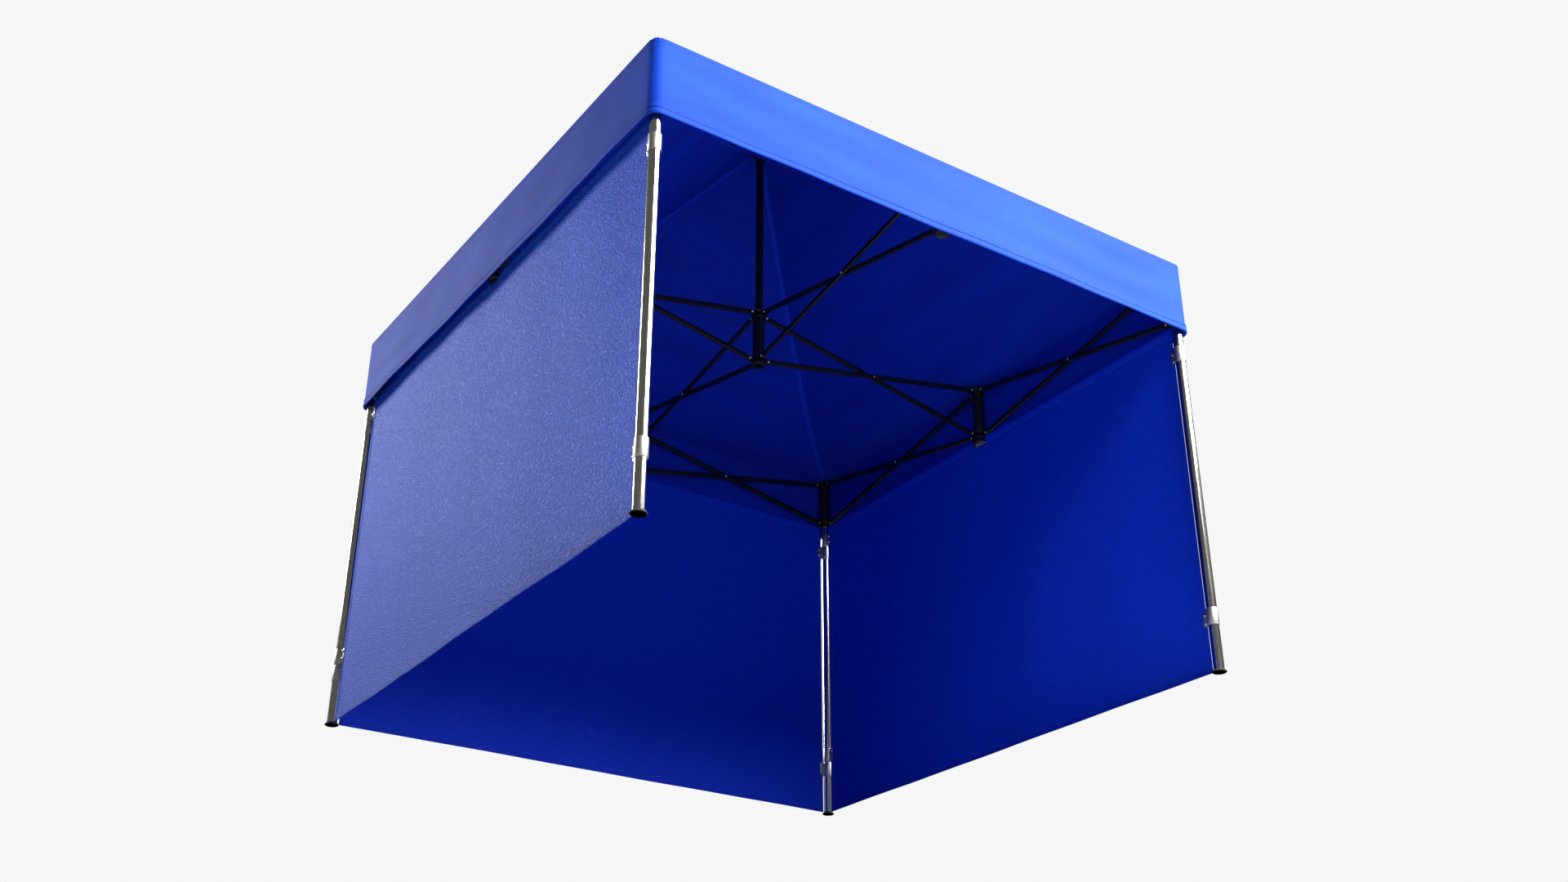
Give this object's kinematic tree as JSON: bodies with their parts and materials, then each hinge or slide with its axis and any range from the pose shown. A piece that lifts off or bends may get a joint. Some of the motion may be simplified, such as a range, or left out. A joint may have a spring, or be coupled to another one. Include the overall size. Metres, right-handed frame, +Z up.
{
  "type": "pop up gazebo",
  "caption": "Square pop up gazebo: scissor frame on four legs, swept pyramid canopy with a valance, and walls on three sides.",
  "frame": {"origin": "centre of the footprint, at the level of the feet", "axes": "+Z up along the centre pole; the open side faces -Y and +X is to the right of someone looking in along +Y"},
  "size_m": [3, 3, 3.07],
  "materials": {
    "black_frame": "black coated steel tube",
    "black_bracket": "moulded black nylon",
    "polished_steel": "bright polished steel tube",
    "rubber": "dark moulded rubber",
    "canopy_fabric": "coated blue polyester",
    "wall_fabric": "heavier coated blue polyester with a dimpled face"
  },
  "bodies": {
    "root": {"centre_upper_hub": "black_bracket", "canopy": "canopy_fabric", "wall_left": "wall_fabric", "wall_right": "wall_fabric", "wall_back": "wall_fabric"},
    "centre_pole": {"centre_pole": "black_frame", "pole_cap": "black_bracket"},
    "inner_bar_falling_front": {"inner_bar_falling_front": "black_frame"},
    "inner_bar_rising_front": {"inner_bar_rising_front": "black_frame"},
    "mid_lower_hub_front": {"mid_lower_hub_front": "black_bracket"},
    "mid_upper_hub_front": {"mid_upper_hub_front": "black_bracket"},
    "centre_lower_hub": {"centre_lower_hub": "black_bracket"},
    "side_bar_rising_front_right": {"side_bar_rising_front_right": "black_frame"},
    "side_bar_falling_front_right": {"side_bar_falling_front_right": "black_frame"},
    "leg_front_right": {"leg_front_right": "polished_steel", "foot_front_right": "rubber", "leg_bracket_front_right": "black_bracket"},
    "slider_front_right": {"slider_front_right": "black_bracket"},
    "pull_pin_front_right": {"pull_pin_front_right": "black_bracket"},
    "side_bar_rising_front_left": {"side_bar_rising_front_left": "black_frame"},
    "side_bar_falling_front_left": {"side_bar_falling_front_left": "black_frame"},
    "leg_front_left": {"leg_front_left": "polished_steel", "foot_front_left": "rubber", "leg_bracket_front_left": "black_bracket"},
    "slider_front_left": {"slider_front_left": "black_bracket"},
    "pull_pin_front_left": {"pull_pin_front_left": "black_bracket"},
    "inner_bar_falling_right": {"inner_bar_falling_right": "black_frame"},
    "inner_bar_rising_right": {"inner_bar_rising_right": "black_frame"},
    "mid_lower_hub_right": {"mid_lower_hub_right": "black_bracket"},
    "mid_upper_hub_right": {"mid_upper_hub_right": "black_bracket"},
    "side_bar_rising_right_back": {"side_bar_rising_right_back": "black_frame"},
    "side_bar_falling_right_back": {"side_bar_falling_right_back": "black_frame"},
    "side_bar_rising_right_front": {"side_bar_rising_right_front": "black_frame"},
    "side_bar_falling_right_front": {"side_bar_falling_right_front": "black_frame"},
    "inner_bar_falling_back": {"inner_bar_falling_back": "black_frame"},
    "inner_bar_rising_back": {"inner_bar_rising_back": "black_frame"},
    "mid_lower_hub_back": {"mid_lower_hub_back": "black_bracket"},
    "mid_upper_hub_back": {"mid_upper_hub_back": "black_bracket"},
    "side_bar_rising_back_left": {"side_bar_rising_back_left": "black_frame"},
    "side_bar_falling_back_left": {"side_bar_falling_back_left": "black_frame"},
    "leg_back_left": {"leg_back_left": "polished_steel", "foot_back_left": "rubber", "leg_bracket_back_left": "black_bracket"},
    "slider_back_left": {"slider_back_left": "black_bracket"},
    "pull_pin_back_left": {"pull_pin_back_left": "black_bracket"},
    "side_bar_rising_back_right": {"side_bar_rising_back_right": "black_frame"},
    "side_bar_falling_back_right": {"side_bar_falling_back_right": "black_frame"},
    "leg_back_right": {"leg_back_right": "polished_steel", "foot_back_right": "rubber", "leg_bracket_back_right": "black_bracket"},
    "slider_back_right": {"slider_back_right": "black_bracket"},
    "pull_pin_back_right": {"pull_pin_back_right": "black_bracket"},
    "inner_bar_falling_left": {"inner_bar_falling_left": "black_frame"},
    "inner_bar_rising_left": {"inner_bar_rising_left": "black_frame"},
    "mid_lower_hub_left": {"mid_lower_hub_left": "black_bracket"},
    "mid_upper_hub_left": {"mid_upper_hub_left": "black_bracket"},
    "side_bar_rising_left_front": {"side_bar_rising_left_front": "black_frame"},
    "side_bar_falling_left_front": {"side_bar_falling_left_front": "black_frame"},
    "side_bar_rising_left_back": {"side_bar_rising_left_back": "black_frame"},
    "side_bar_falling_left_back": {"side_bar_falling_left_back": "black_frame"}
  },
  "joints": [
    {"name": "frame_fold", "type": "hinge", "parent": "root", "child": "inner_bar_falling_front", "pos_m": [0, -0.05, 2.049], "axis": [1, 0, 0], "range_deg": [0, 74], "deforming": ["canopy", "wall_left", "wall_right", "wall_back"]},
    {"name": "inner_cross_front", "type": "hinge", "parent": "inner_bar_falling_front", "child": "inner_bar_rising_front", "pos_m": [0, -0.7275, 1.9165], "axis": [1, 0, 0], "range_deg": [-148, 0]},
    {"name": "lower_hub_front", "type": "hinge", "parent": "inner_bar_falling_front", "child": "mid_lower_hub_front", "pos_m": [0, -1.405, 1.784], "axis": [1, 0, 0], "range_deg": [-74, 0]},
    {"name": "upper_hub_front", "type": "hinge", "parent": "inner_bar_rising_front", "child": "mid_upper_hub_front", "pos_m": [0, -1.405, 2.049], "axis": [1, 0, 0], "range_deg": [0, 74]},
    {"name": "centre_lower", "type": "hinge", "parent": "inner_bar_rising_front", "child": "centre_lower_hub", "pos_m": [0, -0.05, 1.784], "axis": [1, 0, 0], "range_deg": [0, 74]},
    {"name": "rising_front_right", "type": "hinge", "parent": "mid_lower_hub_front", "child": "side_bar_rising_front_right", "pos_m": [0.05, -1.455, 1.784], "axis": [0, 1, 0], "range_deg": [-74, 0]},
    {"name": "falling_front_right", "type": "hinge", "parent": "mid_upper_hub_front", "child": "side_bar_falling_front_right", "pos_m": [0.05, -1.455, 2.049], "axis": [0, 1, 0], "range_deg": [0, 74]},
    {"name": "leg_top_front_right", "type": "hinge", "parent": "side_bar_rising_front_right", "child": "leg_front_right", "pos_m": [1.405, -1.455, 2.049], "axis": [0, 1, 0], "range_deg": [0, 74]},
    {"name": "slider_front_right", "type": "hinge", "parent": "side_bar_falling_front_right", "child": "slider_front_right", "pos_m": [1.405, -1.455, 1.784], "axis": [0, 1, 0], "range_deg": [-74, 0]},
    {"name": "pull_pin_front_right", "type": "slide", "parent": "slider_front_right", "child": "pull_pin_front_right", "axis": [-0.7071, 0.7071, 0], "range_m": [0, 0.008], "stiffness_N_per_m": 400, "springref_m": -0.004},
    {"name": "rising_front_left", "type": "hinge", "parent": "mid_lower_hub_front", "child": "side_bar_rising_front_left", "pos_m": [-0.05, -1.455, 1.784], "axis": [0, -1, 0], "range_deg": [-74, 0]},
    {"name": "falling_front_left", "type": "hinge", "parent": "mid_upper_hub_front", "child": "side_bar_falling_front_left", "pos_m": [-0.05, -1.455, 2.049], "axis": [0, -1, 0], "range_deg": [0, 74]},
    {"name": "leg_top_front_left", "type": "hinge", "parent": "side_bar_rising_front_left", "child": "leg_front_left", "pos_m": [-1.405, -1.455, 2.049], "axis": [0, -1, 0], "range_deg": [0, 74]},
    {"name": "slider_front_left", "type": "hinge", "parent": "side_bar_falling_front_left", "child": "slider_front_left", "pos_m": [-1.405, -1.455, 1.784], "axis": [0, -1, 0], "range_deg": [-74, 0]},
    {"name": "pull_pin_front_left", "type": "slide", "parent": "slider_front_left", "child": "pull_pin_front_left", "axis": [0.7071, 0.7071, 0], "range_m": [0, 0.008], "stiffness_N_per_m": 400, "springref_m": -0.004},
    {"name": "fold_right", "type": "hinge", "parent": "root", "child": "inner_bar_falling_right", "pos_m": [0.05, 0, 2.049], "axis": [0, 1, 0], "range_deg": [0, 74]},
    {"name": "inner_cross_right", "type": "hinge", "parent": "inner_bar_falling_right", "child": "inner_bar_rising_right", "pos_m": [0.7275, 0, 1.9165], "axis": [0, 1, 0], "range_deg": [-148, 0]},
    {"name": "lower_hub_right", "type": "hinge", "parent": "inner_bar_falling_right", "child": "mid_lower_hub_right", "pos_m": [1.405, 0, 1.784], "axis": [0, 1, 0], "range_deg": [-74, 0]},
    {"name": "upper_hub_right", "type": "hinge", "parent": "inner_bar_rising_right", "child": "mid_upper_hub_right", "pos_m": [1.405, 0, 2.049], "axis": [0, 1, 0], "range_deg": [0, 74]},
    {"name": "rising_right_back", "type": "hinge", "parent": "mid_lower_hub_right", "child": "side_bar_rising_right_back", "pos_m": [1.455, 0.05, 1.784], "axis": [-1, 0, 0], "range_deg": [-74, 0]},
    {"name": "falling_right_back", "type": "hinge", "parent": "mid_upper_hub_right", "child": "side_bar_falling_right_back", "pos_m": [1.455, 0.05, 2.049], "axis": [-1, 0, 0], "range_deg": [0, 74]},
    {"name": "rising_right_front", "type": "hinge", "parent": "mid_lower_hub_right", "child": "side_bar_rising_right_front", "pos_m": [1.455, -0.05, 1.784], "axis": [1, 0, 0], "range_deg": [-74, 0]},
    {"name": "falling_right_front", "type": "hinge", "parent": "mid_upper_hub_right", "child": "side_bar_falling_right_front", "pos_m": [1.455, -0.05, 2.049], "axis": [1, 0, 0], "range_deg": [0, 74]},
    {"name": "fold_back", "type": "hinge", "parent": "root", "child": "inner_bar_falling_back", "pos_m": [0, 0.05, 2.049], "axis": [-1, 0, 0], "range_deg": [0, 74]},
    {"name": "inner_cross_back", "type": "hinge", "parent": "inner_bar_falling_back", "child": "inner_bar_rising_back", "pos_m": [0, 0.7275, 1.9165], "axis": [-1, 0, 0], "range_deg": [-148, 0]},
    {"name": "lower_hub_back", "type": "hinge", "parent": "inner_bar_falling_back", "child": "mid_lower_hub_back", "pos_m": [0, 1.405, 1.784], "axis": [-1, 0, 0], "range_deg": [-74, 0]},
    {"name": "upper_hub_back", "type": "hinge", "parent": "inner_bar_rising_back", "child": "mid_upper_hub_back", "pos_m": [0, 1.405, 2.049], "axis": [-1, 0, 0], "range_deg": [0, 74]},
    {"name": "rising_back_left", "type": "hinge", "parent": "mid_lower_hub_back", "child": "side_bar_rising_back_left", "pos_m": [-0.05, 1.455, 1.784], "axis": [0, -1, 0], "range_deg": [-74, 0]},
    {"name": "falling_back_left", "type": "hinge", "parent": "mid_upper_hub_back", "child": "side_bar_falling_back_left", "pos_m": [-0.05, 1.455, 2.049], "axis": [0, -1, 0], "range_deg": [0, 74]},
    {"name": "leg_top_back_left", "type": "hinge", "parent": "side_bar_rising_back_left", "child": "leg_back_left", "pos_m": [-1.405, 1.455, 2.049], "axis": [0, -1, 0], "range_deg": [0, 74]},
    {"name": "slider_back_left", "type": "hinge", "parent": "side_bar_falling_back_left", "child": "slider_back_left", "pos_m": [-1.405, 1.455, 1.784], "axis": [0, -1, 0], "range_deg": [-74, 0]},
    {"name": "pull_pin_back_left", "type": "slide", "parent": "slider_back_left", "child": "pull_pin_back_left", "axis": [0.7071, -0.7071, 0], "range_m": [0, 0.008], "stiffness_N_per_m": 400, "springref_m": -0.004},
    {"name": "rising_back_right", "type": "hinge", "parent": "mid_lower_hub_back", "child": "side_bar_rising_back_right", "pos_m": [0.05, 1.455, 1.784], "axis": [0, 1, 0], "range_deg": [-74, 0]},
    {"name": "falling_back_right", "type": "hinge", "parent": "mid_upper_hub_back", "child": "side_bar_falling_back_right", "pos_m": [0.05, 1.455, 2.049], "axis": [0, 1, 0], "range_deg": [0, 74]},
    {"name": "leg_top_back_right", "type": "hinge", "parent": "side_bar_rising_back_right", "child": "leg_back_right", "pos_m": [1.405, 1.455, 2.049], "axis": [0, 1, 0], "range_deg": [0, 74]},
    {"name": "slider_back_right", "type": "hinge", "parent": "side_bar_falling_back_right", "child": "slider_back_right", "pos_m": [1.405, 1.455, 1.784], "axis": [0, 1, 0], "range_deg": [-74, 0]},
    {"name": "pull_pin_back_right", "type": "slide", "parent": "slider_back_right", "child": "pull_pin_back_right", "axis": [-0.7071, -0.7071, 0], "range_m": [0, 0.008], "stiffness_N_per_m": 400, "springref_m": -0.004},
    {"name": "fold_left", "type": "hinge", "parent": "root", "child": "inner_bar_falling_left", "pos_m": [-0.05, 0, 2.049], "axis": [0, -1, 0], "range_deg": [0, 74]},
    {"name": "inner_cross_left", "type": "hinge", "parent": "inner_bar_falling_left", "child": "inner_bar_rising_left", "pos_m": [-0.7275, 0, 1.9165], "axis": [0, -1, 0], "range_deg": [-148, 0]},
    {"name": "lower_hub_left", "type": "hinge", "parent": "inner_bar_falling_left", "child": "mid_lower_hub_left", "pos_m": [-1.405, 0, 1.784], "axis": [0, -1, 0], "range_deg": [-74, 0]},
    {"name": "upper_hub_left", "type": "hinge", "parent": "inner_bar_rising_left", "child": "mid_upper_hub_left", "pos_m": [-1.405, 0, 2.049], "axis": [0, -1, 0], "range_deg": [0, 74]},
    {"name": "rising_left_front", "type": "hinge", "parent": "mid_lower_hub_left", "child": "side_bar_rising_left_front", "pos_m": [-1.455, -0.05, 1.784], "axis": [1, 0, 0], "range_deg": [-74, 0]},
    {"name": "falling_left_front", "type": "hinge", "parent": "mid_upper_hub_left", "child": "side_bar_falling_left_front", "pos_m": [-1.455, -0.05, 2.049], "axis": [1, 0, 0], "range_deg": [0, 74]},
    {"name": "rising_left_back", "type": "hinge", "parent": "mid_lower_hub_left", "child": "side_bar_rising_left_back", "pos_m": [-1.455, 0.05, 1.784], "axis": [-1, 0, 0], "range_deg": [-74, 0]},
    {"name": "falling_left_back", "type": "hinge", "parent": "mid_upper_hub_left", "child": "side_bar_falling_left_back", "pos_m": [-1.455, 0.05, 2.049], "axis": [-1, 0, 0], "range_deg": [0, 74]},
    {"name": "peak_pole_slide", "type": "slide", "parent": "root", "child": "centre_pole", "axis": [0, 0, -1], "range_m": [0, 0.9]}
  ],
  "couplings": [
    {"joint": "inner_cross_front", "follows": "frame_fold", "ratio": -2},
    {"joint": "lower_hub_front", "follows": "frame_fold", "ratio": -1},
    {"joint": "upper_hub_front", "follows": "frame_fold", "ratio": 1},
    {"joint": "centre_lower", "follows": "frame_fold", "ratio": 1},
    {"joint": "rising_front_right", "follows": "frame_fold", "ratio": -1},
    {"joint": "falling_front_right", "follows": "frame_fold", "ratio": 1},
    {"joint": "leg_top_front_right", "follows": "frame_fold", "ratio": 1},
    {"joint": "slider_front_right", "follows": "frame_fold", "ratio": -1},
    {"joint": "rising_front_left", "follows": "frame_fold", "ratio": -1},
    {"joint": "falling_front_left", "follows": "frame_fold", "ratio": 1},
    {"joint": "leg_top_front_left", "follows": "frame_fold", "ratio": 1},
    {"joint": "slider_front_left", "follows": "frame_fold", "ratio": -1},
    {"joint": "fold_right", "follows": "frame_fold", "ratio": 1},
    {"joint": "inner_cross_right", "follows": "frame_fold", "ratio": -2},
    {"joint": "lower_hub_right", "follows": "frame_fold", "ratio": -1},
    {"joint": "upper_hub_right", "follows": "frame_fold", "ratio": 1},
    {"joint": "rising_right_back", "follows": "frame_fold", "ratio": -1},
    {"joint": "falling_right_back", "follows": "frame_fold", "ratio": 1},
    {"joint": "rising_right_front", "follows": "frame_fold", "ratio": -1},
    {"joint": "falling_right_front", "follows": "frame_fold", "ratio": 1},
    {"joint": "fold_back", "follows": "frame_fold", "ratio": 1},
    {"joint": "inner_cross_back", "follows": "frame_fold", "ratio": -2},
    {"joint": "lower_hub_back", "follows": "frame_fold", "ratio": -1},
    {"joint": "upper_hub_back", "follows": "frame_fold", "ratio": 1},
    {"joint": "rising_back_left", "follows": "frame_fold", "ratio": -1},
    {"joint": "falling_back_left", "follows": "frame_fold", "ratio": 1},
    {"joint": "leg_top_back_left", "follows": "frame_fold", "ratio": 1},
    {"joint": "slider_back_left", "follows": "frame_fold", "ratio": -1},
    {"joint": "rising_back_right", "follows": "frame_fold", "ratio": -1},
    {"joint": "falling_back_right", "follows": "frame_fold", "ratio": 1},
    {"joint": "leg_top_back_right", "follows": "frame_fold", "ratio": 1},
    {"joint": "slider_back_right", "follows": "frame_fold", "ratio": -1},
    {"joint": "fold_left", "follows": "frame_fold", "ratio": 1},
    {"joint": "inner_cross_left", "follows": "frame_fold", "ratio": -2},
    {"joint": "lower_hub_left", "follows": "frame_fold", "ratio": -1},
    {"joint": "upper_hub_left", "follows": "frame_fold", "ratio": 1},
    {"joint": "rising_left_front", "follows": "frame_fold", "ratio": -1},
    {"joint": "falling_left_front", "follows": "frame_fold", "ratio": 1},
    {"joint": "rising_left_back", "follows": "frame_fold", "ratio": -1},
    {"joint": "falling_left_back", "follows": "frame_fold", "ratio": 1}
  ]
}
